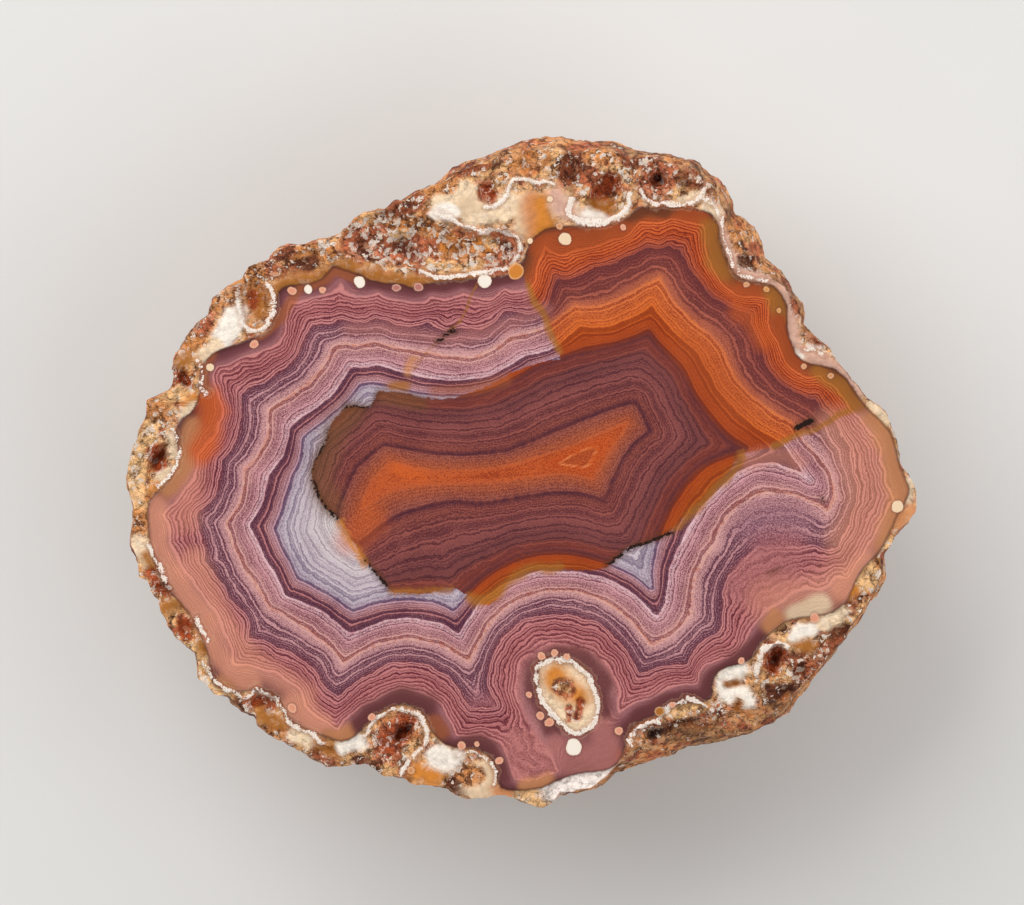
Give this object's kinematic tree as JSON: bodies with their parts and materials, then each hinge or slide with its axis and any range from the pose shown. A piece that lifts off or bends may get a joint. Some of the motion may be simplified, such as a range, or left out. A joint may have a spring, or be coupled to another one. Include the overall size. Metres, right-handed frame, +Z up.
{
  "type": "agate",
  "caption": "Half of an agate nodule with a polished, banded cut face and a rough knobby back, lying on a small flat spot.",
  "frame": {"origin": "middle of the outline, on the small flat spot that the stone rests on", "axes": "+Z up, out of the polished face; +X to the right across the face, its longest way; +Y to the face's upper edge"},
  "size_m": [0.0988, 0.084, 0.034],
  "materials": {
    "agate": "polished mauve, lavender and orange bands on the cut face, rough brown and white rind around it"
  },
  "bodies": {
    "root": {"agate": "agate"}
  },
  "joints": []
}
